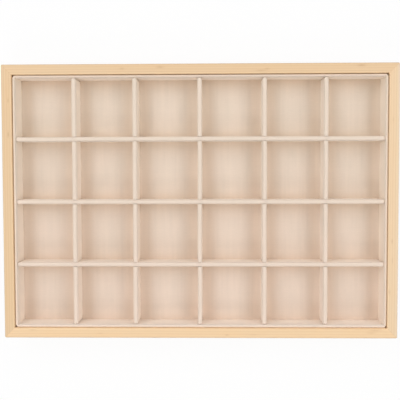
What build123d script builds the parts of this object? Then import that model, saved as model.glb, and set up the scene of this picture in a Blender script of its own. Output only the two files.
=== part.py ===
from build123d import *
import os

# Jewelry display tray, in millimetres. A mitred wooden frame with a pinned bottom panel holds
# a drop-in insert of suede-covered board. An egg-crate of suede-covered dividers stands in the
# insert: the cross dividers are notched from the top, and the long dividers drop over them.
# +X runs along the tray, +Y to its back and +Z up. The origin is the centre of the underside.

# Frame
tray_length = 350.0
tray_width = 243.0
tray_height = 30.0
rail_thickness = 9.0
top_arris = 0.8  # round-over on the frame's upper edges
bottom_arris = 0.5
corner_cut = 0.8  # flat planed on the frame's four upright outer edges

# Bottom panel, let into a rebate in the rails' undersides
panel_thickness = 3.0
panel_recess = 1.0  # how far the panel's underside stands above the rails' underside
rebate_depth = 4.5  # how far the rebate reaches into a rail from its inner face
panel_play = 0.3  # between the panel's edge and the rebate

# Pins that hold the panel up into the rails
pin_radius = 0.5  # to the corners: the fine wire is drawn with eight flats
pin_length = 12.0
pin_head_radius = 1.0
pin_head_height = 0.4
pins_per_long_rail = 4
pins_per_side_rail = 3

# Headless brads across the mitres
brad_radius = 0.5  # drawn with eight flats too
brad_length = 18.0
brad_set = 0.6  # how far a brad's end is sunk below the side rail's outer face
brad_inset = 9.5  # from the rail's lower or upper edge to the brad
nail_play = 0.02  # all round a pin or brad in its hole

# Insert
insert_play = 0.5  # between the insert and the rails, all round
insert_recess = 1.5  # how far the insert's rim lies below the frame's top
wall_board = 1.2
wall_round = 0.8  # outside radius of the suede over a wall's rim and ends
insert_corner = 2.5  # plan radius of the insert's four outer corners
floor_board = 2.0
suede = 0.4

# Dividers
middle_column = 53.7  # clear width of the two middle columns of compartments
next_column = 50.2  # clear width of the column beyond, each side; the outermost take the rest
middle_row = 52.1  # clear depth of the two middle rows; the outer rows take the rest
divider_board = 3.0
divider_round = 1.1  # outside radius of the suede over a divider's top and ends
divider_height = 21.4
end_play = 0.4  # between a divider's end and the insert's wall
notch_play = 0.15  # each side of a divider, in the notch that it crosses
halving_play = 0.3  # between the ends of two crossing notches

# Sizes that follow
opening_length = tray_length - 2 * rail_thickness
opening_width = tray_width - 2 * rail_thickness
panel_top = panel_recess + panel_thickness
insert_length = opening_length - 2 * insert_play
insert_width = opening_width - 2 * insert_play
wall_height = tray_height - insert_recess - panel_top
wall_thickness = wall_board + 2 * suede
clear_length = insert_length - 2 * wall_thickness
clear_width = insert_width - 2 * wall_thickness
floor_top = panel_top + floor_board + suede
divider_thickness = divider_board + 2 * suede
halving_height = floor_top + divider_height / 2
inner_columns = (next_column, middle_column, middle_column, next_column)
inner_rows = (middle_row, middle_row)

standing = (Align.CENTER, Align.CENTER, Align.MIN)


def block(length, width, height, base=0.0):
    """A box centred on the Z axis, standing at the height base."""
    return Pos(0, 0, base) * Box(length, width, height, align=standing)


def wire(radius, length):
    """A straight piece of fine wire that rises from height 0."""
    return extrude(RegularPolygon(radius, 8), length)


def evenly(count, length):
    """The middles of count equal shares of a length that is centred on 0."""
    share = length / count
    return [(step + 0.5) * share - length / 2 for step in range(count)]


def divider_places(clear_sizes):
    """The centres of the dividers beside and between compartments of these clear sizes."""
    place = -(sum(clear_sizes) + len(clear_sizes) * divider_thickness) / 2
    places = [place]
    for size in clear_sizes:
        place += size + divider_thickness
        places.append(place)
    return places


def panel_pin(play=0.0):
    """A flat-headed pin that points up, its head's underside at height 0, or its hole."""
    shank = wire(pin_radius + play, pin_length + play)
    return shank + wire(pin_head_radius + play, pin_head_height + play)


def panel_pin_places():
    """Where the pins stand, along the middle of the rebate's ledge."""
    ledge_x = (opening_length + rebate_depth) / 2
    ledge_y = (opening_width + rebate_depth) / 2
    places = []
    for side in (-1, 1):
        for x in evenly(pins_per_long_rail, tray_length):
            places.append(Pos(x, side * ledge_y, panel_recess))
        for y in evenly(pins_per_side_rail, tray_width):
            places.append(Pos(side * ledge_x, y, panel_recess))
    return places


def brad():
    """A headless brad along +X, from the rail's outer face at x = 0 where it is sunk."""
    return Pos(brad_set, 0, 0) * Rot(0, 90, 0) * wire(brad_radius, brad_length)


def brad_hole():
    """The hole of one brad, open to the rail's outer face."""
    return Rot(0, 90, 0) * wire(brad_radius + nail_play, brad_set + brad_length + nail_play)


def brad_places():
    """Where the brads enter: the side rails' outer faces, in line with the long rails."""
    face = tray_length / 2
    rail_axis = (tray_width - rail_thickness) / 2
    places = []
    for height in (brad_inset, tray_height - brad_inset):
        for y in (-rail_axis, rail_axis):
            places.append(Pos(-face, y, height))
            places.append(Pos(face, y, height) * Rot(0, 0, 180))
    return places


def frame_ring():
    """The frame before it is parted at its mitres, with eased edges and the rebate below."""
    ring = block(tray_length, tray_width, tray_height)
    ring = chamfer(ring.edges().filter_by(Axis.Z), corner_cut)
    ring = ring - block(opening_length, opening_width, tray_height)
    ring = fillet(ring.faces().sort_by(Axis.Z)[-1].edges(), top_arris)
    ring = fillet(ring.faces().sort_by(Axis.Z)[0].outer_wire().edges(), bottom_arris)
    return ring - block(opening_length + 2 * rebate_depth, opening_width + 2 * rebate_depth, panel_top)


def mitre_wedge(length, width):
    """The space of the rail on the -Y side of a length by width frame, cut to its mitres."""
    outline = Polyline(
        (-length / 2, -width / 2),
        (length / 2, -width / 2),
        (length / 2 - rail_thickness, -width / 2 + rail_thickness),
        (-length / 2 + rail_thickness, -width / 2 + rail_thickness),
        close=True,
    )
    return extrude(make_face(outline), tray_height)


def frame_parts():
    """The four rails, the bottom panel and the fasteners."""
    pins = panel_pin_places()
    brads = brad_places()
    pin_holes = Compound(children=[place * panel_pin(nail_play) for place in pins])
    brad_holes = Compound(children=[place * brad_hole() for place in brads])
    ring = frame_ring() - pin_holes - brad_holes
    long_wedge = mitre_wedge(tray_length, tray_width)
    side_wedge = mitre_wedge(tray_width, tray_length)
    panel = block(
        opening_length + 2 * (rebate_depth - panel_play),
        opening_width + 2 * (rebate_depth - panel_play),
        panel_thickness,
        panel_recess,
    )
    return {
        "front_rail": ring & long_wedge,
        "back_rail": ring & Rot(0, 0, 180) * long_wedge,
        "right_rail": ring & Rot(0, 0, 90) * side_wedge,
        "left_rail": ring & Rot(0, 0, -90) * side_wedge,
        "bottom_panel": panel - pin_holes,
        "panel_pins": Compound(children=[place * panel_pin() for place in pins]),
        "corner_brads": Compound(children=[place * brad() for place in brads]),
    }


def covered_strip(length, board_thickness, height, wanted_round):
    """A board along X, and the outside of the suede over its top, faces and ends.

    The outside is the space that the rounded plan, side and end outlines share. The rounding
    is held to what leaves some suede over the board's square corners.
    """
    thickness = board_thickness + 2 * suede
    edge_round = min(wanted_round, 0.45 * thickness, 3 * suede)
    plan = extrude(RectangleRounded(length, thickness, edge_round), height)
    side = Plane.XZ * RectangleRounded(length, 2 * height, edge_round)
    end = Plane.YZ * RectangleRounded(thickness, 2 * height, edge_round)
    outside = plan & extrude(side, thickness, both=True) & extrude(end, length, both=True)
    return block(length - 2 * suede, board_thickness, height - suede), outside


def insert_space(margin):
    """The space of the insert in plan, with its rounded corners, less a margin all round."""
    length = insert_length - 2 * margin
    width = insert_width - 2 * margin
    outline = RectangleRounded(length, width, insert_corner - margin)
    return Pos(0, 0, panel_top) * extrude(outline, wall_height)


def insert_parts():
    """The insert: a floor board with suede on it, and four covered walls around it."""
    floor = block(clear_length + 2 * suede, clear_width + 2 * suede, floor_board, panel_top)
    parts = {
        "insert_floor_board": floor,
        "insert_floor_suede": block(clear_length, clear_width, suede, panel_top + floor_board),
    }
    wall_x = (insert_length - wall_thickness) / 2
    wall_y = (insert_width - wall_thickness) / 2
    walls = {
        "front": (insert_length, Pos(0, -wall_y, panel_top)),
        "back": (insert_length, Pos(0, wall_y, panel_top)),
        "left": (clear_width, Pos(-wall_x, 0, panel_top) * Rot(0, 0, 90)),
        "right": (clear_width, Pos(wall_x, 0, panel_top) * Rot(0, 0, 90)),
    }
    for side, (length, place) in walls.items():
        board, outside = covered_strip(length, wall_board, wall_height, wall_round)
        board = place * board & insert_space(suede)
        parts[f"insert_{side}_board"] = board
        parts[f"insert_{side}_suede"] = (place * outside & insert_space(0.0)) - board - floor
    return parts


def notches(places, low, high):
    """Notches through a strip along X, each wide enough for a divider that crosses it."""
    width = divider_thickness + 2 * notch_play
    notch = block(width, 2 * divider_thickness, high - low, low)
    return Compound(children=[Pos(x, 0, 0) * notch for x in places])


def divider_parts():
    """The egg-crate: cross dividers notched from above, long dividers notched from below."""
    cross_x = divider_places(inner_columns)
    long_y = divider_places(inner_rows)
    lower_half = notches(cross_x, floor_top, halving_height + halving_play / 2)
    upper_half = notches(long_y, halving_height - halving_play / 2, floor_top + divider_height)
    dividers = {"long": (clear_length, lower_half), "cross": (clear_width, upper_half)}
    places = {
        "long": [Pos(0, y, 0) for y in long_y],
        "cross": [Pos(x, 0, 0) * Rot(0, 0, 90) for x in cross_x],
    }
    parts = {}
    for name, (span, cuts) in dividers.items():
        length = span - 2 * end_play
        board, outside = covered_strip(length, divider_board, divider_height, divider_round)
        for material, solid in {"board": board, "suede": outside - board}.items():
            notched = Pos(0, 0, floor_top) * solid - cuts
            for number, place in enumerate(places[name], 1):
                parts[f"{name}_divider_{number}_{material}"] = place * notched
    return parts


os.makedirs("parts", exist_ok=True)
for node, solid in {**frame_parts(), **insert_parts(), **divider_parts()}.items():
    export_step(solid, f"parts/{node}.step")
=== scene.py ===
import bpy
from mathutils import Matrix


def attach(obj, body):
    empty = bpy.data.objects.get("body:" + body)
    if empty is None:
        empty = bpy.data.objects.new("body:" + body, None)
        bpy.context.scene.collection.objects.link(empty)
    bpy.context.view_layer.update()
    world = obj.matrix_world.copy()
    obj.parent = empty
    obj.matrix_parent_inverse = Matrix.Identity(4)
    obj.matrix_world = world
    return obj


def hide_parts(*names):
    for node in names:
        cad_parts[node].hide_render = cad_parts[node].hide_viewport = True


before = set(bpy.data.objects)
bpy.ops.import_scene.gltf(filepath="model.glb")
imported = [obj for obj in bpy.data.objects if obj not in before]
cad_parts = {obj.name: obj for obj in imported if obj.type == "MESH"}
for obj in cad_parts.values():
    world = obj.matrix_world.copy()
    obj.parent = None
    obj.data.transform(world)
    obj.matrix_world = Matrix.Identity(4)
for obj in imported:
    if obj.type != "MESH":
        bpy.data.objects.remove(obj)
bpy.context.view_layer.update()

import math

import bmesh
import bpy
from mathutils import Euler, Vector, noise

# Jewelry display tray: a mitred pale wood frame, and in it a suede-covered insert whose
# compartments are parted by halved dividers. Lengths are in metres, so a setting that is
# measured in millimetres is multiplied by mm.

mm = 0.001
scene = bpy.context.scene
weldReach = 0.004 * mm  # points nearer than this become one

# what several pieces share, as in the CAD
tray = {
    "halfLength": 175 * mm,
    "halfWidth": 121.5 * mm,
    "height": 30 * mm,
    "railWidth": 9 * mm,
    # where the cross dividers stand along x and the long ones along y, in mm
    "crossPlaces": (-111.5, -57.5, 0.0, 57.5, 111.5),
    "longPlaces": (-55.9, 0.0, 55.9),
    # and where the insert's walls stand along x and along y
    "sideWalls": (-165.0, 165.0),
    "longWalls": (-112.0, 112.0),
}


# Node trees

class Wire:
    # one socket of a node tree: sums on it add Math nodes, and add() makes any other node
    def __init__(self, tree, socket=None):
        self.tree = tree
        self.socket = socket

    def add(self, nodeType, settings=None, values=None, out=0):
        node = self.tree.nodes.new(nodeType)
        for name, value in (settings or {}).items():
            setattr(node, name, value)
        for name, value in (values or {}).items():
            for one in value if isinstance(value, list) else [value]:
                if isinstance(one, Wire):
                    self.tree.links.new(one.socket, node.inputs[name])
                else:
                    node.inputs[name].default_value = one
        return Wire(self.tree, node.outputs[out]) if len(node.outputs) else None

    def out(self, name):
        return Wire(self.tree, self.socket.node.outputs[name])

    def math(self, operation, *values):
        return self.add("ShaderNodeMath", {"operation": operation}, dict(enumerate(values)))

    def of(self, operation):
        return self.math(operation, self)

    def __add__(self, other):
        return self.math("ADD", self, other)

    def __radd__(self, other):
        return self.math("ADD", other, self)

    def __sub__(self, other):
        return self.math("SUBTRACT", self, other)

    def __rsub__(self, other):
        return self.math("SUBTRACT", other, self)

    def __mul__(self, other):
        return self.math("MULTIPLY", self, other)

    def __rmul__(self, other):
        return self.math("MULTIPLY", other, self)

    def __truediv__(self, other):
        return self.math("DIVIDE", self, other)

    def __rtruediv__(self, other):
        return self.math("DIVIDE", other, self)

    def __pow__(self, other):
        return self.math("POWER", self, other)

    def __abs__(self):
        return self.math("ABSOLUTE", self)

    def __lt__(self, other):
        return self.math("LESS_THAN", self, other)

    def __gt__(self, other):
        return self.math("GREATER_THAN", self, other)

    def least(self, other):
        return self.math("MINIMUM", self, other)

    def most(self, other):
        return self.math("MAXIMUM", self, other)

    def held(self):
        return self.most(0.0).least(1.0)

    def bell(self, width):
        # 1 where this wire is 0, falling smoothly to 0 over about twice the width
        share = self / width
        return (share * share * -1.0).of("EXPONENT")


def scaled(vector, factors):
    return vector.add("ShaderNodeVectorMath", {"operation": "MULTIPLY"}, {0: vector, 1: factors})


def joined(wire, x=0.0, y=0.0, z=0.0):
    # three numbers as a vector
    return wire.add("ShaderNodeCombineXYZ", {}, {0: x, 1: y, 2: z})


def parted(vector):
    # a vector's three numbers
    split = vector.add("ShaderNodeSeparateXYZ", {}, {0: vector})
    return split.out("X"), split.out("Y"), split.out("Z")


def mottle(vector, scale, detail, roughness=0.5):
    # smooth noise from about -1 to 1
    values = {"Vector": vector, "Scale": scale, "Detail": detail, "Roughness": roughness}
    return (vector.add("ShaderNodeTexNoise", {}, values) - 0.5) * 2.0


def lot(wire, first, second):
    # a random number from 0 to 1 for each pair of keys
    key = joined(wire, first, second)
    return wire.add("ShaderNodeTexWhiteNoise", {"noise_dimensions": "2D"}, {"Vector": key})


def blend(factor, first, second):
    settings = {"data_type": "RGBA", "clamp_factor": True}
    return factor.add("ShaderNodeMix", settings, {0: factor, 6: first, 7: second}, out=2)


def shade(colour, amount):
    # a colour made lighter or darker by a varying amount around 0
    share = amount + 1.0
    return scaled(colour, joined(colour, share, share, share))


def objectPlace(wire):
    return wire.add("ShaderNodeTexCoord").out("Object")


def facing(wire):
    return parted(wire.add("ShaderNodeNewGeometry").out("Normal"))


def rgb(colour):
    return (*colour, 1.0)


def startMaterial(name):
    material = bpy.data.materials.new(name)
    material.use_nodes = True
    material.node_tree.nodes.clear()
    return material, Wire(material.node_tree)


def endMaterial(wire, values, height, relief):
    strength, distance = relief
    bump = {"Height": height, "Strength": strength, "Distance": distance}
    values["Normal"] = wire.add("ShaderNodeBump", {}, bump)
    surface = wire.add("ShaderNodeBsdfPrincipled", {}, values)
    wire.add("ShaderNodeOutputMaterial", {}, {"Surface": surface})


# Wood of the rails. In this and the other finishes a "Grain" says how fine a pattern is, per
# metre and in each direction, and "relief" is the strength and depth of the bumps.

railWood = {
    "early": (0.914, 0.668, 0.414),
    "late": (0.776, 0.527, 0.306),
    "streak": (0.560, 0.330, 0.165),
    "redder": (1.012, 0.992, 0.965),  # the wood's colour wanders between these two
    "yellower": (0.990, 1.006, 1.030),
    "ringPitch": 2.3 * mm,
    "ringShift": 12.6 * mm,  # from the underside to the top
    "ringCurve": 1.7,  # the rings curve away, so they are wider down the sides
    "ringEdge": 1.7,  # how narrow the late wood of a ring is
    "wander": 1.5 * mm,
    "lateShares": (0.34, 0.26, 0.24),  # of the rings, of the bands, and everywhere
    "fibre": 0.035,
    "band": 0.035,
    # these run along the rail, across it and down it
    "wanderGrain": (5.0, 26.0, 26.0),
    "bandGrain": (3.0, 210.0, 90.0),
    "fibreGrain": (45.0, 2600.0, 2600.0),
    "warmthGrain": (42.0, 150.0, 60.0),
    "warmthSpread": 0.7,
    # how far down from the top the flecks and the edges reach
    "fleckDepth": 10 * mm,
    "edgeDepth": 2.5 * mm,
    # a painted highlight along the inner upper edge, and how far in it reaches
    "edgeHighlight": 0.07,
    "edgeHighlightReach": 1.1 * mm,
    "glueDark": 0.35,
    "glueReach": 0.16 * mm,
    "roughness": 0.52,
    "fibreRough": 0.05,
    "ringSmooth": 0.06,
    "relief": (0.25, 0.05 * mm),
}

# for each rail its tint, a shift along its grain, the painted light and shade of its outer edge,
# how far in that painted shade reaches (mm), and its darker flecks: along the rail, across,
# length, width (mm), strength
rails = {
    "front_rail": {
        "along": "x", "tint": (1.03, 1.03, 1.03), "shift": 3.1,
        "edge": (0.90, 0.90, 0.91), "edgeShadeReach": 0.8,
        "flecks": [
            (-89, -117.4, 5, 0.7, 0.22), (48, -118.4, 7, 0.6, 0.18), (24, -118.7, 3, 0.7, 0.35),
            (155, -114.4, 9, 0.8, 0.34), (152, -116.6, 8, 0.8, 0.26), (-150, -114.5, 5, 0.8, 0.2),
        ],
    },
    "back_rail": {
        "along": "x", "tint": (0.94, 0.94, 0.94), "shift": 7.7,
        "edge": (0.90, 0.90, 0.90), "edgeShadeReach": 0.8,
        "flecks": [
            (-68, 117.4, 4.5, 1.0, 0.26), (-34.5, 118.4, 6.5, 1.0, 0.32),
            (141.5, 119.2, 7, 1.0, 0.42), (54, 115.2, 9, 0.7, 0.36), (59.5, 116.6, 5, 0.7, 0.28),
        ],
    },
    "left_rail": {
        "along": "y", "tint": (0.925, 0.92, 0.91), "shift": 12.9,
        "edge": (0.93, 0.95, 0.98), "edgeShadeReach": 1.2,
        "flecks": [(90, -169, 4, 0.7, 0.3), (60, -169.2, 5, 0.8, 0.42)],
    },
    "right_rail": {
        "along": "y", "tint": (0.99, 1.02, 1.07), "shift": 18.3,
        "edge": (0.98, 1.03, 1.14), "edgeShadeReach": 2.2,
        "flecks": [
            (72, 169.4, 4, 0.6, 0.2), (-52, 170, 6, 0.6, 0.22), (-35, 169.5, 4, 0.7, 0.3),
            (-80, 167.8, 5, 0.6, 0.3),
        ],
    },
}


def makeRailWood(name, rail):
    wood = railWood
    material, wire = startMaterial(name)
    x, y, z = parted(objectPlace(wire))
    if rail["along"] == "x":
        along, across, outside = x, y, tray["halfWidth"]
    else:
        along, across, outside = y, x, tray["halfLength"]

    # growth rings cut nearly along the rail, wandering a little
    grain = joined(wire, along + rail["shift"], across, z)
    wander = mottle(scaled(grain, wood["wanderGrain"]), 1.0, 2.0)
    shift = (z / tray["height"]) ** wood["ringCurve"] * wood["ringShift"]
    turns = (across + shift + wander * wood["wander"]) * (2 * math.pi / wood["ringPitch"])
    rings = (turns.of("SINE") * 0.5 + 0.5) ** wood["ringEdge"]
    band = mottle(scaled(grain, wood["bandGrain"]), 1.0, 2.0)
    fibre = mottle(scaled(grain, wood["fibreGrain"]), 1.0, 3.0, 0.6)
    ringShare, bandShare, everywhere = wood["lateShares"]
    late = (rings * ringShare + band * bandShare + everywhere).held()
    colour = blend(late, rgb(wood["early"]), rgb(wood["late"]))
    colour = shade(colour, fibre * wood["fibre"] + band * wood["band"])
    warmth = mottle(scaled(grain, wood["warmthGrain"]), 1.0, 2.0) * wood["warmthSpread"] + 0.5
    colour = blend(warmth.held(), scaled(colour, wood["yellower"]), scaled(colour, wood["redder"]))

    # short darker flecks on the upper face
    dark = 0.0
    for start, side, size, width, strength in rail["flecks"]:
        fleck = (along - start * mm).bell(size * mm / 2) * (across - side * mm).bell(width * mm)
        dark = fleck * strength + dark
    upper = z > tray["height"] - wood["fleckDepth"]
    colour = blend((dark * upper).held(), colour, rgb(wood["streak"]))

    # upper edges: a painted highlight along the inside, and painted light and shade along the
    # rounded outside
    edges = z > tray["height"] - wood["edgeDepth"]
    inside = outside - tray["railWidth"]
    inner = (abs(across) - inside).bell(wood["edgeHighlightReach"]) * edges
    outer = (outside - abs(across)).bell(rail["edgeShadeReach"] * mm) * edges
    colour = shade(scaled(colour, rail["tint"]), inner * wood["edgeHighlight"])
    colour = blend(outer, colour, scaled(colour, rail["edge"]))

    # the glue line of the mitre
    mitre = abs((tray["halfLength"] - abs(x)) - (tray["halfWidth"] - abs(y)))
    glue = mitre.bell(wood["glueReach"]) * wood["glueDark"]
    colour = blend(glue, colour, rgb(wood["streak"]))

    roughness = fibre * wood["fibreRough"] + (wood["roughness"] - rings * wood["ringSmooth"])
    values = {"Base Color": colour, "Roughness": roughness, "Specular IOR Level": 0.35}
    endMaterial(wire, values, fibre * 0.6 + rings * 0.4, wood["relief"])
    return material


# Plywood of the bottom panel, grey board and steel

panelPlywood = {
    "light": (0.74, 0.55, 0.36),
    "dark": (0.55, 0.37, 0.21),
    "edge": (0.42, 0.27, 0.15),
    "figurePitch": 17 * mm,
    "figureEdge": 1.6,
    "wander": 12 * mm,
    "wanderGrain": (3.5, 12.0, 0.0),
    "fibreGrain": (30.0, 1500.0, 0.0),
    "lateShares": (0.7, 0.12, 0.1),  # of the figure, of the fibres, and everywhere
    "coreHeight": 2.5 * mm,  # of the middle ply, seen on the panel's edge
    "coreHalf": 0.55 * mm,
    "roughness": 0.66,
    "relief": (0.3, 0.06 * mm),
}
greyBoard = {
    "pulp": (0.60, 0.54, 0.46),
    "fleck": (0.42, 0.37, 0.31),
    "pulpGrain": 900.0,
    "pulpShade": 0.08,
    "fleckGrain": 2300.0,
    "fleckFrom": 0.45,
    "fleckSharp": 2.5,
    "roughness": 0.9,
    "relief": (0.4, 0.08 * mm),
}
nailSteel = {
    "bright": (0.62, 0.60, 0.57),
    "dull": (0.36, 0.34, 0.32),
    "wearGrain": 700.0,
    "roughness": 0.5,
    "relief": (0.2, 0.03 * mm),
}


def makePlywood(name, settings):
    material, wire = startMaterial(name)
    place = objectPlace(wire)
    _, y, z = parted(place)
    wander = mottle(scaled(place, settings["wanderGrain"]), 1.0, 2.0)
    turns = (y + wander * settings["wander"]) * (2 * math.pi / settings["figurePitch"])
    figure = turns.of("SINE") * 0.5 + 0.5
    fibre = mottle(scaled(place, settings["fibreGrain"]), 1.0, 3.0, 0.6)
    figureShare, fibreShare, everywhere = settings["lateShares"]
    late = figure ** settings["figureEdge"] * figureShare + fibre * fibreShare + everywhere
    colour = blend(late.held(), rgb(settings["light"]), rgb(settings["dark"]))
    core = abs(z - settings["coreHeight"]) < settings["coreHalf"]
    _, _, normalUp = facing(wire)
    colour = blend(core * (abs(normalUp) < 0.5), colour, rgb(settings["edge"]))
    roughness = fibre * 0.06 + settings["roughness"]
    values = {"Base Color": colour, "Roughness": roughness, "Specular IOR Level": 0.3}
    endMaterial(wire, values, fibre, settings["relief"])
    return material


def makeBoard(name, settings):
    material, wire = startMaterial(name)
    place = objectPlace(wire)
    pulp = mottle(place, settings["pulpGrain"], 3.0, 0.65)
    flecks = (mottle(place, settings["fleckGrain"], 1.0) - settings["fleckFrom"]).held()
    flecks = (flecks * settings["fleckSharp"]).held()
    colour = blend(flecks, rgb(settings["pulp"]), rgb(settings["fleck"]))
    colour = shade(colour, pulp * settings["pulpShade"])
    roughness = pulp * 0.05 + settings["roughness"]
    values = {"Base Color": colour, "Roughness": roughness, "Specular IOR Level": 0.2}
    endMaterial(wire, values, pulp, settings["relief"])
    return material


def makeSteel(name, settings):
    material, wire = startMaterial(name)
    worn = mottle(objectPlace(wire), settings["wearGrain"], 3.0) * 0.5 + 0.5
    colour = blend(worn.held(), rgb(settings["dull"]), rgb(settings["bright"]))
    roughness = worn * -0.15 + settings["roughness"]
    values = {"Base Color": colour, "Roughness": roughness, "Metallic": 1.0}
    endMaterial(wire, values, worn, settings["relief"])
    return material


# Suede, with its nap brushed along the wrap of each cover

suedeCloth = {
    "colour": (0.812, 0.704, 0.590),
    "warm": (0.850, 0.702, 0.596),
    "drift": 3.0,  # per metre: warmer towards the front
    "uprightPaintedLight": (1.085, 1.155, 1.22),  # painted sheen: upright faces are made paler, as suede looks at a grazing view
    "patch": 0.022,
    "nap": 0.030,
    "fuzz": 0.025,
    "patchSquash": (1.0, 1.0, 1.6),
    "patchGrain": 34.0,
    "patchWarm": 0.3,
    "napGrain": (260.0, 900.0, 0.0),
    "fuzzGrain": 2600.0,
    "roughness": 0.93,
    "sheen": 0.40,
    "sheenRoughness": 0.35,
    "sheenTint": (1.0, 0.90, 0.81),
    "relief": (0.35, 0.12 * mm),
}

# the floor has painted shade along the feet of walls and dividers, and a painted shadow under the
# back wall
floorLook = {
    "tint": (0.998, 0.998, 0.998),
    "patch": 1.3,
    "paintedFootShade": (0.955, 0.918, 0.880),
    "footShadeReach": 8 * mm,
    "footShadeShift": 1.8 * mm,  # the painted shade lies further towards the front side of each divider, as a cast shadow
    "sideShadeBand": (8 * mm, 5 * mm, 0.75),  # a painted shade band beside a cross divider: how far, how wide, how much
    "paintedBackShadow": (0.935, 0.905, 0.880),  # painted shadow under the back wall
    "backShadowReach": 9 * mm,
    # the brush strokes are faint; the grains are per metre along x and along y
    "frontToBack": (0.05, (300.0, 16.0, 0.0)),
    "sideToSide": (0.016, (16.0, 300.0, 0.0)),
}

# painted shade on the dividers' tops where two cross, and painted light and shade that make their
# right sides paler and their front sides darker
dividerLook = {
    "tint": (1.035, 1.02, 1.005),
    "crossingShade": (0.93, 0.925, 0.93),
    "crossingShadeReach": 2.2 * mm,
    "crossingShadeAbove": 26 * mm,
    "paintedLightRight": 0.032,
    "paintedShadeFront": 0.065,
}


def nearest(wire, places):
    # how far a coordinate is from the nearest of some places
    reach = abs(wire - places[0] * mm)
    for place in places[1:]:
        reach = reach.least(abs(wire - place * mm))
    return reach


def markFloor(colour):
    place = objectPlace(colour)
    x, y, _ = parted(place)
    bandPlace, bandReach, bandDepth = floorLook["sideShadeBand"]
    # painted shade along the feet of walls and dividers, reaching further on their front sides
    beside = nearest(x, tray["crossPlaces"] + tray["sideWalls"]) - bandPlace
    before = nearest(y + floorLook["footShadeShift"], tray["longPlaces"] + tray["longWalls"])
    paintedFootShade = (beside.bell(bandReach) * bandDepth).most(before.bell(floorLook["footShadeReach"]))
    colour = blend(paintedFootShade, colour, scaled(colour, floorLook["paintedFootShade"]))
    # painted shadow under the back wall
    back = (y - tray["longWalls"][1] * mm).bell(floorLook["backShadowReach"])
    colour = blend(back, colour, scaled(colour, floorLook["paintedBackShadow"]))
    lift = 0.0
    for strength, grain in (floorLook["frontToBack"], floorLook["sideToSide"]):
        lift = mottle(scaled(place, grain), 1.0, 2.0) * strength + lift
    return colour, lift


def markDivider(colour):
    x, y, z = parted(objectPlace(colour))
    reach = dividerLook["crossingShadeReach"]
    onCross, onLong = nearest(x, tray["crossPlaces"]), nearest(y, tray["longPlaces"])
    # painted shade on the tops where two dividers cross
    crossingShade = onCross.bell(reach) * onLong.bell(reach) * (z > dividerLook["crossingShadeAbove"])
    colour = blend(crossingShade, colour, scaled(colour, dividerLook["crossingShade"]))
    # painted light on faces that look right, painted shade on faces that look to the front
    right, back, _ = facing(colour)
    return colour, right * dividerLook["paintedLightRight"] + back.least(0.0) * dividerLook["paintedShadeFront"]


def makeSuede(name, tint, patch=1.0, mark=None):
    cloth = suedeCloth
    material, wire = startMaterial(name)
    wrap = wire.add("ShaderNodeUVMap", {"uv_map": "wrap"})
    place = objectPlace(wire)
    _, y, _ = parted(place)
    _, _, normalUp = facing(wire)
    patches = mottle(scaled(place, cloth["patchSquash"]), cloth["patchGrain"], 2.0, 0.55)
    brushed = mottle(scaled(wrap, cloth["napGrain"]), 1.0, 3.0, 0.6)
    fuzz = mottle(place, cloth["fuzzGrain"], 2.0, 0.6)
    warmth = (patches * cloth["patchWarm"] + y * -cloth["drift"] + 0.5).held()
    colour = blend(warmth, rgb(cloth["colour"]), rgb(cloth["warm"]))
    upright = (1.15 - abs(normalUp) * 1.3).held()  # 1 on upright faces, 0 on level ones
    # painted light: upright faces are made paler
    colour = blend(upright, colour, scaled(colour, cloth["uprightPaintedLight"]))
    lift = patches * (cloth["patch"] * patch) + brushed * cloth["nap"] + fuzz * cloth["fuzz"]
    if mark:
        colour, marked = mark(colour)
        lift = lift + marked
    values = {
        "Base Color": shade(scaled(colour, tint), lift),
        "Roughness": fuzz * 0.04 + cloth["roughness"],
        "Specular IOR Level": 0.15,
        "Sheen Weight": cloth["sheen"],
        "Sheen Roughness": cloth["sheenRoughness"],
        "Sheen Tint": rgb(cloth["sheenTint"]),
    }
    endMaterial(wire, values, brushed * 0.4 + fuzz * 0.6, cloth["relief"])
    return material


finishes = {
    name: makeRailWood(name.replace("_r", "R") + "Wood", rail) for name, rail in rails.items()
}
finishes["bottom_panel"] = makePlywood("panelPlywood", panelPlywood)
board = makeBoard("greyBoard", greyBoard)
steel = makeSteel("nailSteel", nailSteel)
floorSuede = makeSuede("floorSuede", floorLook["tint"], floorLook["patch"], markFloor)
dividerSuede = makeSuede("dividerSuede", dividerLook["tint"], mark=markDivider)
print("materials made")


# The wood, panel and boards keep their own shapes and get their finish here

for name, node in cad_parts.items():
    if name in finishes or name.endswith("_board"):
        node.data.materials.clear()
        node.data.materials.append(finishes.get(name, board))
print("frame and boards dressed")


# Shapes grown by geometry nodes. A tree's inputs are named like the settings they take.

def startTree(name, inputs):
    tree = bpy.data.node_groups.new(name, "GeometryNodeTree")
    for kind, labels in inputs.items():
        for label in labels:
            tree.interface.new_socket(name=label, in_out="INPUT", socket_type="NodeSocket" + kind)
    tree.interface.new_socket(name="Geometry", in_out="OUTPUT", socket_type="NodeSocketGeometry")
    return tree, Wire(tree).add("NodeGroupInput")


def endTree(shape, finish):
    real = shape.add("GeometryNodeRealizeInstances", {}, {0: shape})
    dressed = shape.add("GeometryNodeSetMaterial", {}, {"Geometry": real, "Material": finish})
    shape.add("NodeGroupOutput", {}, {0: dressed})


def moved(shape, place, turn=(0.0, 0.0, 0.0)):
    values = {"Geometry": shape, "Translation": place, "Rotation": turn}
    return shape.add("GeometryNodeTransform", {}, values)


def addPiece(mesh, body, replaced, sharp=45):
    # a finished piece, named like its mesh
    mesh.shade_smooth()
    mesh.set_sharp_from_angle(angle=math.radians(sharp))
    piece = bpy.data.objects.new(mesh.name, mesh)
    scene.collection.objects.link(piece)
    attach(piece, body)
    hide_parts(replaced)
    return piece


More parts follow.
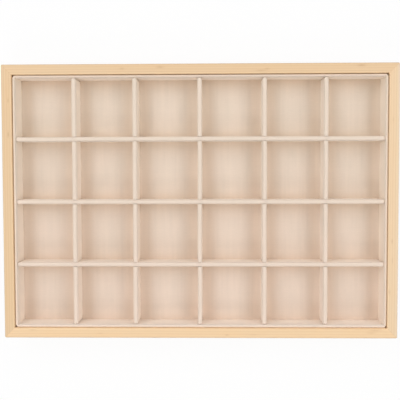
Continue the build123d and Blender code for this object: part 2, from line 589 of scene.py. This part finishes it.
def grow(name, tree, values):
    seedling = bpy.data.objects.new("seedling", bpy.data.meshes.new("seedling"))
    scene.collection.objects.link(seedling)
    modifier = seedling.modifiers.new("shape", "NODES")
    modifier.node_group = tree
    for socket in tree.interface.items_tree:
        if socket.in_out == "INPUT":
            modifier[socket.identifier] = values[socket.name]
    shown = seedling.evaluated_get(bpy.context.evaluated_depsgraph_get())
    mesh = bpy.data.meshes.new_from_object(shown)
    mesh.name = name
    bpy.data.objects.remove(seedling)
    return mesh


# Divider covers: a sheet wrapped over each notched board, closed at its ends, open below

dividers = {
    "thickness": 3.8 * mm,
    "board": 3.0 * mm,
    "suede": 0.4 * mm,
    "fit": 0.02 * mm,  # between the board and the suede's underside
    "height": 21.4 * mm,
    "base": 6.4 * mm,
    "squareness": 2.9,  # how boxy the rounded top and ends are: 2 is a half circle
    "rimRise": 1.45 * mm,
    "notchWidth": 3.94 * mm,
    "bow": 0.22 * mm,
    "wobble": 0.07 * mm,
    "wobbleGrain": 130.0,
    "fineGrain": 620.0,
    # how far along it the rim is drawn down: beside a cut, and where a long divider is pressed
    "cutReach": 0.9 * mm,
    "pressReach": 2.0 * mm,
    "cutDraw": 0.10 * mm,  # how far the side faces are drawn in beside a cut
    "easing": 0.13,  # how much shorter the faces are towards a cell's ends
    "long": {"span": 326.2 * mm, "cutHeight": 17.25 * mm, "rimDip": 0.24 * mm},
    "cross": {"span": 219.2 * mm, "cutHeight": 16.95 * mm, "rimDip": 0.18 * mm},
}


def dividerTree():
    tree, start = startTree("dividerCover", {
        "Float": (
            "span", "thickness", "board", "suede", "fit", "height", "base", "squareness",
            "rimRise", "middlePitch", "outerPitch", "notchWidth", "cutHeight", "cutFromAbove",
            "rimDip", "bow", "wobble", "turn",
        ),
        "Int": ("cells", "seed"),
        "Vector": ("place",),
        "Material": ("finish",),
    })
    get = start.out
    span, base, height, cutHeight = get("span"), get("base"), get("height"), get("cutHeight")
    cells, notch, seed, above = get("cells"), get("notchWidth"), get("seed"), get("cutFromAbove")
    quarter = math.pi / 2

    # how many faces each part of the sheet has, around the wrap and along it
    rimRows, upperRows, lowerRows = 7, 6, 5
    endSteps, cellSteps, notchSteps = 5, 16, 4
    half = rimRows + upperRows + lowerRows
    step = cellSteps + notchSteps
    bodySteps = cells * step - notchSteps
    columns = bodySteps + 2 * endSteps

    def crossingPlace(number):
        # the two middle cells may be longer than the ones beyond them
        count = number - cells * 0.5
        middleReach = abs(count).least(1.0) * get("middlePitch")
        outerReach = (abs(count) - 1.0).most(0.0) * get("outerPitch")
        return count.of("SIGN") * (middleReach + outerReach)

    grid = start.add("GeometryNodeMeshGrid", {}, {
        "Size X": columns, "Size Y": 2.0 * half,
        "Vertices X": columns + 1.0, "Vertices Y": 2 * half + 1,
    })
    flatX, flatY, _ = parted(start.add("GeometryNodeInputPosition"))

    # the faces inside the notches go first, found by their middles
    middle = flatX + columns * 0.5 - endSteps
    cell = (middle / step).of("FLOOR")
    inNotch = ((middle - cell * step) > cellSteps) * (middle > 0.0) * (middle < bodySteps)
    away = abs(flatY)
    cutRow = rimRows + upperRows
    cutAway = inNotch * (above * (away < cutRow) + (1.0 - above) * (away > cutRow))
    cut = {"Geometry": grid, "Selection": cutAway}
    sheet = start.add("GeometryNodeDeleteGeometry", {"domain": "FACE"}, cut)

    # each point's row gives its place on the wrap: side face, rim, side face
    row = flatY.of("ROUND")
    away = abs(row)
    side = row.of("SIGN")
    turn = (1.0 - (away / rimRows).least(1.0)) * quarter
    power = 2.0 / get("squareness")
    halfThick = get("thickness") * 0.5
    width = halfThick * (turn.of("COSINE").most(0.0) ** power)
    top = base + height
    rise = get("rimRise")
    shoulder = top - rise
    upper = ((away - rimRows) / upperRows).held()
    lower = ((away - cutRow) / lowerRows).held()
    level = shoulder + rise * (turn.of("SINE").most(0.0) ** power)
    level = level + (cutHeight - shoulder) * upper + (base - cutHeight) * lower

    # its column gives its place along the strip: end, cell, notch, cell, end
    column = (flatX + columns * 0.5).of("ROUND") - endSteps
    inside = column.most(0.0).least(bodySteps)
    cell = ((inside + 0.01) / step).of("FLOOR")
    local = inside - cell * step
    reach = span * 0.5 - halfThick
    first = (crossingPlace(cell) + notch * 0.5).most(reach * -1.0)
    last = (crossingPlace(cell + 1.0) - notch * 0.5).least(reach)
    share = (local / cellSteps).least(1.0)
    eased = share - (share * (2 * math.pi)).of("SINE") * dividers["easing"]
    x = first + (last - first) * eased + ((local - cellSteps) / notchSteps).held() * notch
    pastStart = ((column * -1.0).most(0.0) / endSteps) * quarter
    pastEnd = ((column - bodySteps).most(0.0) / endSteps) * quarter
    past = pastStart + pastEnd
    x = x + width * (past.of("SINE").most(0.0) ** power) * (pastEnd - pastStart).of("SIGN")
    y = side * width * (past.of("COSINE").most(0.0) ** power)

    # the cloth gives a little: bowed between crossings, drawn down where it is cut or pressed
    before = crossingPlace(cell.most(1.0))
    after = crossingPlace((cell + 1.0).least(cells - 1.0))
    near = abs(x - before).least(abs(x - after))
    cutPinch = above * (near - notch * 0.5).bell(dividers["cutReach"])
    pinch = cutPinch + (1.0 - above) * near.bell(dividers["pressReach"])
    rim = (1.0 - away / rimRows).most(0.0)
    notEnd = 1.0 - past / quarter
    cellBow = (lot(start, cell * 3.7 + 1.3, seed * 1.9 + 0.7) - 0.5) * 2.0 * get("bow")
    bow = cellBow * (share * math.pi).of("SINE") * ((level - base) / height) * notEnd
    key = joined(start, x, y, level + seed * 0.37)
    wobble = mottle(key, dividers["wobbleGrain"], 2.0) * get("wobble")
    fine = mottle(key, dividers["fineGrain"], 1.0) * get("wobble") * 0.5
    z = level - rim * (pinch * get("rimDip") - wobble * 0.9 - fine).most(0.0)
    drawn = pinch * above * dividers["cutDraw"] + (wobble + fine).most(0.0) * 0.6
    place = joined(start, x, y - side * drawn * notEnd + bow, z)
    sheet = start.add("GeometryNodeSetPosition", {}, {"Geometry": sheet, "Position": place})

    # the wrap's own map, in metres, then the seams at the two ends
    nowX, nowY, nowZ = parted(start.add("GeometryNodeInputPosition"))
    chart = joined(start, nowX, nowY + nowY.of("SIGN") * (top - nowZ))
    sheet = start.add(
        "GeometryNodeStoreNamedAttribute", {"data_type": "FLOAT2", "domain": "CORNER"},
        {"Geometry": sheet, "Name": "wrap", "Value": chart},
    )
    weld = {"Distance": weldReach}
    sheet = start.add("GeometryNodeMergeByDistance", {}, {"Geometry": sheet, **weld})

    # the underside hugs the board
    raised = {"Mesh": sheet, "Offset Scale": 0.0, "Individual": False}
    under = start.add("GeometryNodeExtrudeMesh", {"mode": "FACES"}, raised)
    hug = get("board") * 0.5 + get("fit")
    endHug = span * 0.5 - get("suede") + get("fit")
    topHug = top - get("suede") + get("fit")
    hugX = nowX.most(endHug * -1.0).least(endHug)
    hugY = nowY.most(hug * -1.0).least(hug)
    under = start.add("GeometryNodeSetPosition", {}, {
        "Geometry": under, "Selection": under.out("Top"),
        "Position": joined(start, hugX, hugY, nowZ.least(topHug)),
    })
    under = start.add("GeometryNodeFlipFaces", {}, {"Mesh": under})
    shell = start.add("GeometryNodeJoinGeometry", {}, {"Geometry": [sheet, under]})
    shell = start.add("GeometryNodeMergeByDistance", {}, {"Geometry": shell, **weld})
    endTree(moved(shell, get("place"), joined(start, z=get("turn"))), get("finish"))
    return tree


coverTree = dividerTree()
for kind, other in (("long", "cross"), ("cross", "long")):
    crosses = kind == "cross"
    crossings = tray[other + "Places"]
    shared = {
        **dividers, **dividers[kind],
        "cells": len(crossings) + 1,
        "middlePitch": crossings[len(crossings) // 2 + 1] * mm,
        "outerPitch": (crossings[-1] - crossings[-2]) * mm,
        "cutFromAbove": float(crosses),
        "turn": math.pi / 2 if crosses else 0.0,
        "finish": dividerSuede,
    }
    wrapped = 2 * dividers["height"] + dividers["thickness"]
    for number, offset in enumerate(tray[kind + "Places"], 1):
        stem = f"{kind}_divider_{number}"
        mesh = grow(stem + "_cover", coverTree, {
            **shared,
            "seed": number + 10 * crosses,
            "place": (offset * mm, 0.0, 0.0) if crosses else (0.0, offset * mm, 0.0),
        })
        body = "cross_dividers" if crosses else stem
        piece = addPiece(mesh, body, stem + "_suede")
        flatSize = (wrapped, shared["span"] + dividers["thickness"])
print("divider covers made")


# Insert: four wall covers that meet in mitres, and the floor's suede

walls = {
    "halfLength": 165.5 * mm,
    "halfWidth": 112 * mm,
    "thickness": 2 * mm,
    "suede": 0.4 * mm,
    "fit": 0.02 * mm,
    "foot": 4 * mm,
    "floorEdge": 6 * mm,  # the inner face stops on the floor board
    "top": 28.5 * mm,
    "cornerRound": 2.5 * mm,
    "mitreGap": 0.05 * mm,
    # how deep the crease at the wall's start and at its end is, in mm
    "crease": {
        "front": (0.30, 0.14), "right": (0.14, 0.2), "back": (0.24, 0.16), "left": (0.16, 0.30),
    },
    "creaseReach": 0.9 * mm,
    # how far the cloth stands proud outside, at the wall's start, middle and end, in mm
    "proud": {
        "front": (0.38, 0.41, 0.40), "right": (0.22, 0.26, 0.08),
        "back": (0.05, 0.08, 0.22), "left": (0.05, 0.2, 0.3),
    },
    "wave": 0.08 * mm,
    "waveGrain": (60, 200, 70),  # per metre along the wall, through it and up it
    "waveShift": 50,  # keeps the waves of two walls apart
    "outerWave": 0.35,  # how much of the wave the outer face has
    "mostIn": 0.6,  # how far crease and wave may press the suede in and down, as shares of it
    "mostDown": 0.8,
    # painted light: each wall gets its own tinted copy of the suede, for how its faces are lit
    "tint": {
        "front": (1.076, 1.09, 1.09), "right": (1.045, 1.03, 1.0),
        "back": (1.03, 0.99, 0.975), "left": (1.045, 1.03, 1.0),
    },
}


def clothShell(name, outer, inner, chart, finish):
    # a cloth sheet as a closed thin shell, from equal grids of outer and inner points
    across, up = len(outer), len(outer[0])
    points = [point for grid in (outer, inner) for line in grid for point in line]
    back = across * up

    def at(i, j):
        return i * up + j

    faces = []
    for i in range(across - 1):
        for j in range(up - 1):
            a, b, c, d = at(i, j), at(i + 1, j), at(i + 1, j + 1), at(i, j + 1)
            faces.append((a, b, c, d))
            faces.append((a + back, d + back, c + back, b + back))
        for j, flip in ((0, True), (up - 1, False)):
            a, b = (at(i + 1, j), at(i, j)) if flip else (at(i, j), at(i + 1, j))
            faces.append((a, b, b + back, a + back))
    for j in range(up - 1):
        for i, flip in ((0, False), (across - 1, True)):
            a, b = (at(i, j + 1), at(i, j)) if flip else (at(i, j), at(i, j + 1))
            faces.append((a, b, b + back, a + back))
    mesh = bpy.data.meshes.new(name)
    mesh.from_pydata(points, [], faces)
    layer = mesh.uv_layers.new(name="wrap")
    for loop in mesh.loops:
        spot = loop.vertex_index % back
        layer.data[loop.index].uv = chart[spot // up][spot % up]
    mesh.materials.append(finish)
    return mesh


def weldPoints(mesh):
    shape = bmesh.new()
    shape.from_mesh(mesh)
    bmesh.ops.remove_doubles(shape, verts=shape.verts, dist=weldReach)
    shape.to_mesh(mesh)
    shape.free()


def wallCover(side, turn, halfSpan, offset):
    # local frame: the wall runs along x, its outer face lies at y = -offset
    thick, suede, fit = walls["thickness"], walls["suede"], walls["fit"]
    top, foot, bend = walls["top"], walls["foot"], walls["cornerRound"]
    startCrease, endCrease = walls["crease"][side]
    startProud, middleProud, endProud = walls["proud"][side]
    alongGrain, throughGrain, upGrain = walls["waveGrain"]
    wavePlace = offset * walls["waveShift"]
    half = thick / 2
    shoulder = top - half
    straight = halfSpan - bend
    mitre = math.pi / 4

    # rows up the outer face, over the rim and down the inner face: depth from outside, height
    rows = [(0.0, foot + (shoulder - foot) * share) for share in (0.0, 0.25, 0.5, 0.75)]
    for step in range(13):
        angle = math.pi * step / 12
        rows.append((half - half * math.cos(angle), shoulder + half * math.sin(angle)))
    fall = shoulder - walls["floorEdge"]
    rows += [(thick, shoulder - fall * share) for share in (0.15, 0.3, 0.5, 0.7, 0.85, 1.0)]

    # columns round one corner, along the wall and round the other: which end, turn, place
    bendSteps = 6
    longSteps = max(24, round(straight / (3 * mm)))
    columns = [(-1, mitre * (1 - step / bendSteps), -straight) for step in range(bendSteps)]
    for step in range(longSteps + 1):
        columns.append((0, 0.0, -straight + 2 * straight * step / longSteps))
    columns += [(1, mitre * (step + 1) / bendSteps, straight) for step in range(bendSteps)]

    spin = Euler((0, 0, turn)).to_matrix()
    outer, inner, chart = [], [], []
    for end, angle, along in columns:
        gap = end * walls["mitreGap"] * (angle / mitre)

        def spot(depth, height):
            reach = bend - depth
            x = along + end * reach * math.sin(angle)
            return Vector((x - gap, -offset + bend - reach * math.cos(angle), height))

        outerLine, innerLine, chartLine = [], [], []
        for depth, height in rows:
            # the corner's crease, deepest at the mitre and on the rim
            x = spot(depth, height).x + gap
            toMitre = halfSpan - depth - abs(x)
            deep = (startCrease if x < 0 else endCrease) * mm
            crease = deep * math.exp(-((toMitre / walls["creaseReach"]) ** 2))
            key = Vector((x * alongGrain, wavePlace + depth * throughGrain, height * upGrain))
            wave = walls["wave"] * noise.noise(key)
            inWave = abs(wave) * (1.0 if depth > half else walls["outerWave"])
            pressedIn = min(crease + inWave, suede * walls["mostIn"])
            pressedDown = min(crease * 1.2 + max(0.0, wave), suede * walls["mostDown"])
            rim = max(0.0, 1 - abs(depth - half) / half)

            # the outer face bulges, most at the rim
            toEnd = min(1.0, abs(x) / halfSpan) ** 4
            proud = middleProud + ((startProud if x < 0 else endProud) - middleProud) * toEnd
            raised = (height - foot) / (top - foot)
            bulge = max(0.0, 1 - depth / half) * proud * raised * mm
            newDepth = depth + (half - depth) / half * pressedIn - bulge
            outerLine.append(spin @ spot(newDepth, height - rim * pressedDown))

            # the underside hugs the board
            hugDepth = min(max(depth, suede - fit), thick - suede + fit)
            hug = spot(hugDepth, min(height, top - suede + fit))
            innerLine.append(spin @ hug)
            chartLine.append((hug.x, depth + (height if depth < half else -height)))
        outer.append(outerLine)
        inner.append(innerLine)
        chart.append(chartLine)
    # a copy of the suede for each wall, tinted as painted light
    finish = makeSuede(side + "WallSuede", walls["tint"][side])
    mesh = clothShell(f"insert_{side}_cover", outer, inner, chart, finish)
    weldPoints(mesh)
    return mesh


wrapped = 2 * (walls["top"] - walls["foot"]) + walls["thickness"]
lengthways = (walls["halfLength"], walls["halfWidth"])
crossways = (walls["halfWidth"], walls["halfLength"])
for side, degrees, (halfSpan, offset) in (
    ("front", 0, lengthways), ("right", 90, crossways),
    ("back", 180, lengthways), ("left", -90, crossways),
):
    mesh = wallCover(side, math.radians(degrees), halfSpan, offset)
    piece = addPiece(mesh, "insert", f"insert_{side}_suede")
    flatSize = (wrapped, 2 * halfSpan)
print("wall covers made")


floor = {
    "halfLength": 163.5 * mm,
    "halfWidth": 110 * mm,
    "under": 6.02 * mm,
    "over": 6.4 * mm,
    "steps": (108, 72),
    "wave": 0.10 * mm,
    "waveGrain": 45,
}


def floorCover():
    stepsX, stepsY = floor["steps"]
    grain = floor["waveGrain"]
    outer, inner, chart = [], [], []
    for i in range(stepsX + 1):
        x = floor["halfLength"] * (2 * i / stepsX - 1)
        line = [(x, floor["halfWidth"] * (2 * j / stepsY - 1)) for j in range(stepsY + 1)]
        waves = [noise.noise(Vector((x * grain, y * grain, 3.1))) for x, y in line]
        sags = [floor["wave"] * (0.5 + 0.5 * wave) for wave in waves]
        outer.append([(x, y, floor["over"] - sag) for (x, y), sag in zip(line, sags)])
        inner.append([(x, y, floor["under"]) for x, y in line])
        chart.append(line)
    return clothShell("insert_floor_cover", outer, inner, chart, floorSuede)


piece = addPiece(floorCover(), "insert", "insert_floor_suede")
flatSize = (2 * floor["halfWidth"], 2 * floor["halfLength"])
print("floor cover made")


# Pins under the panel and brads across the mitres

pins = {
    "headRadius": 0.93 * mm, "headHeight": 0.38 * mm, "shankRadius": 0.46 * mm,
    "length": 11.9 * mm, "tip": 1.5 * mm, "base": 1.0 * mm,
    # the head's width below and above, where it is widest, and the tip's width, as shares
    "headEdges": (0.9, 0.94), "headMiddle": 0.35, "tipWidth": 0.12,
    # two rows along the tray and two across it, evenly spread
    "longRow": 2 * tray["halfLength"], "longCount": 4, "longAside": 114.75 * mm,
    "sideRow": 2 * tray["halfWidth"], "sideCount": 3, "sideAside": 168.25 * mm,
    "sides": 20, "seed": 4, "finish": steel,
}
brads = {
    "radius": 0.46 * mm, "length": 17.9 * mm, "tip": 1.6 * mm,
    "endWidth": 0.86, "tipWidth": 0.15,
    "entry": 174.4 * mm, "row": 117 * mm, "low": 9.5 * mm, "high": 20.5 * mm,
    "sides": 18, "seed": 9, "finish": steel,
}
nailSpread = 0.02  # how much smaller one nail may be than another


def stacked(start, sides, cones):
    # a nail of cones along z, each given by its two radii, its height and where it begins
    parts = []
    for bottom, top, height, begin in cones:
        shape = start.add("GeometryNodeMeshCone", {}, {
            "Vertices": sides, "Radius Bottom": bottom, "Radius Top": top, "Depth": height,
        })
        parts.append(moved(shape, joined(start, z=begin)))
    return start.add("GeometryNodeJoinGeometry", {}, {"Geometry": parts})


def lotOfEach(start):
    # a random number for each point
    return lot(start, start.add("GeometryNodeInputIndex") + 0.5, start.out("seed") + 0.5)


def driveNails(start, places, nail, turn):
    # a nail at each point, no two quite alike in size, ends the tree
    nails = start.add("GeometryNodeInstanceOnPoints", {}, {
        "Points": places, "Instance": nail, "Rotation": turn,
        "Scale": 1.0 - lotOfEach(start) * nailSpread,
    })
    endTree(nails, start.out("finish"))


def pinTree():
    tree, start = startTree("panelPins", {
        "Float": (
            "headRadius", "headHeight", "shankRadius", "length", "tip", "base", "longRow",
            "longAside", "sideRow", "sideAside",
        ),
        "Int": ("longCount", "sideCount", "seed"),
        "Material": ("finish",),
    })
    get = start.out
    rim, head, radius = get("headRadius"), get("headHeight"), get("shankRadius")
    length, tip = get("length"), get("tip")
    under, upper = pins["headEdges"]
    middle = pins["headMiddle"]
    pin = stacked(start, pins["sides"], (
        (rim * under, rim, head * middle, 0.0),
        (rim, rim * upper, head * (1 - middle), head * middle),
        (radius, radius, length - head - tip, head),
        (radius, radius * pins["tipWidth"], tip, length - tip),
    ))
    rows = []
    for sign in (-1.0, 1.0):
        for kind in ("long", "side"):
            share = get(kind + "Row") / get(kind + "Count")
            first = share * 0.5 - get(kind + "Row") * 0.5
            aside = get(kind + "Aside") * sign
            if kind == "long":
                begin, step = joined(start, first, aside, get("base")), joined(start, x=share)
            else:
                begin, step = joined(start, aside, first, get("base")), joined(start, y=share)
            rows.append(start.add("GeometryNodeMeshLine", {"mode": "OFFSET"}, {
                "Count": get(kind + "Count"), "Start Location": begin, "Offset": step,
            }))
    places = start.add("GeometryNodeJoinGeometry", {}, {"Geometry": rows})
    driveNails(start, places, pin, joined(start, z=lotOfEach(start) * math.pi))
    return tree


def bradTree():
    tree, start = startTree("cornerBrads", {
        "Float": ("radius", "length", "tip", "entry", "row", "low", "high"),
        "Int": ("seed",),
        "Material": ("finish",),
    })
    get = start.out
    radius, tip, length = get("radius"), get("tip"), get("length")
    end = radius * 0.5
    brad = stacked(start, brads["sides"], (
        (radius * brads["endWidth"], radius, end, 0.0),
        (radius, radius, length - tip - end, end),
        (radius, radius * brads["tipWidth"], tip, length - tip),
    ))
    # a box whose eight corners are where the brads go in
    size = joined(start, get("entry") * 2.0, get("row") * 2.0, get("high") - get("low"))
    corners = start.add("GeometryNodeMeshCube", {}, {"Size": size})
    corners = moved(corners, joined(start, z=(get("high") + get("low")) * 0.5))
    x, _, _ = parted(start.add("GeometryNodeInputPosition"))
    driveNails(start, corners, brad, joined(start, y=x.of("SIGN") * (-math.pi / 2)))
    return tree


mesh = grow("panel_pin_row", pinTree(), pins)
addPiece(mesh, "frame", "panel_pins", sharp=30)
mesh = grow("corner_brad_set", bradTree(), brads)
addPiece(mesh, "frame", "corner_brads", sharp=30)
print("pins and brads made")


# Studio

studio = {
    "floorSize": 6.0,
    "floorWhite": 0.97,
    "shadowKept": 0.10,  # how much of the floor's own light shows to the camera
    "ambient": 0.02,
    "boxSize": 0.8,
    "boxDistance": 1.4,
    "boxAim": (0.0, 0.0, 0.02),
    # each soft box: its direction round the tray and its height in degrees, and its power
    "softBoxes": {
        "rightBox": (0, 44, 7.9),
        "backRightBox": (50, 45, 2.7),
        "backBox": (90, 30, 1.6),
        "backLeftBox": (130, 45, 5.1),
        "leftBox": (180, 48, 6.1),
        "frontBox": (262, 42, 6.1),
    },
    "cameraPlace": (0.01238, 0.02927, 0.62824),
    "cameraTurn": (-2.633, 1.149, -0.146),  # in degrees
    "lens": 61.02,
    "film": 36.0,
}


def seenRays(wire):
    path = wire.add("ShaderNodeLightPath")
    seen = path.out("Is Camera Ray").most(path.out("Is Glossy Ray"))
    return seen.most(path.out("Is Transmission Ray"))


def makeStudio():
    half = studio["floorSize"] / 2
    corners = [(-half, -half, 0), (half, -half, 0), (half, half, 0), (-half, half, 0)]
    mesh = bpy.data.meshes.new("tableTop")
    mesh.from_pydata(corners, [], [(0, 1, 2, 3)])
    table = bpy.data.objects.new("tableTop", mesh)
    scene.collection.objects.link(table)
    material, wire = startMaterial("tableWhite")
    white = studio["floorWhite"]
    own = wire.add("ShaderNodeBsdfDiffuse", {}, {"Color": rgb((white, white, white))})
    glow = wire.add("ShaderNodeEmission", {}, {"Color": rgb((1.0, 1.0, 1.0)), "Strength": 1.0})
    share = seenRays(wire) * (1.0 - studio["shadowKept"])
    surface = wire.add("ShaderNodeMixShader", {}, {0: share, 1: own, 2: glow})
    wire.add("ShaderNodeOutputMaterial", {}, {"Surface": surface})
    mesh.materials.append(material)

    world = bpy.data.worlds.new("studio")
    world.use_nodes = True
    world.node_tree.nodes.clear()
    wire = Wire(world.node_tree)
    strength = seenRays(wire) * (1.0 - studio["ambient"]) + studio["ambient"]
    bright = {"Color": rgb((1.0, 1.0, 1.0)), "Strength": strength}
    sky = wire.add("ShaderNodeBackground", {}, bright)
    wire.add("ShaderNodeOutputWorld", {}, {"Surface": sky})
    scene.world = world

    for name, (around, height, power) in studio["softBoxes"].items():
        light = bpy.data.lights.new(name, "AREA")
        light.shape = "SQUARE"
        light.size = studio["boxSize"]
        light.energy = power
        lamp = bpy.data.objects.new(name, light)
        turn = Euler((0.0, -math.radians(height), math.radians(around)))
        lamp.location = turn.to_matrix() @ Vector((studio["boxDistance"], 0.0, 0.0))
        aim = Vector(studio["boxAim"]) - lamp.location
        lamp.rotation_euler = aim.to_track_quat("-Z", "Y").to_euler()
        scene.collection.objects.link(lamp)

    lens = bpy.data.cameras.new("camera")
    lens.lens = studio["lens"]
    lens.sensor_width = studio["film"]
    lens.clip_start = 10 * mm
    camera = bpy.data.objects.new("camera", lens)
    camera.location = studio["cameraPlace"]
    camera.rotation_euler = Euler([math.radians(angle) for angle in studio["cameraTurn"]])
    scene.collection.objects.link(camera)
    scene.camera = camera
    scene.view_settings.view_transform = "Standard"


makeStudio()
print("studio made")
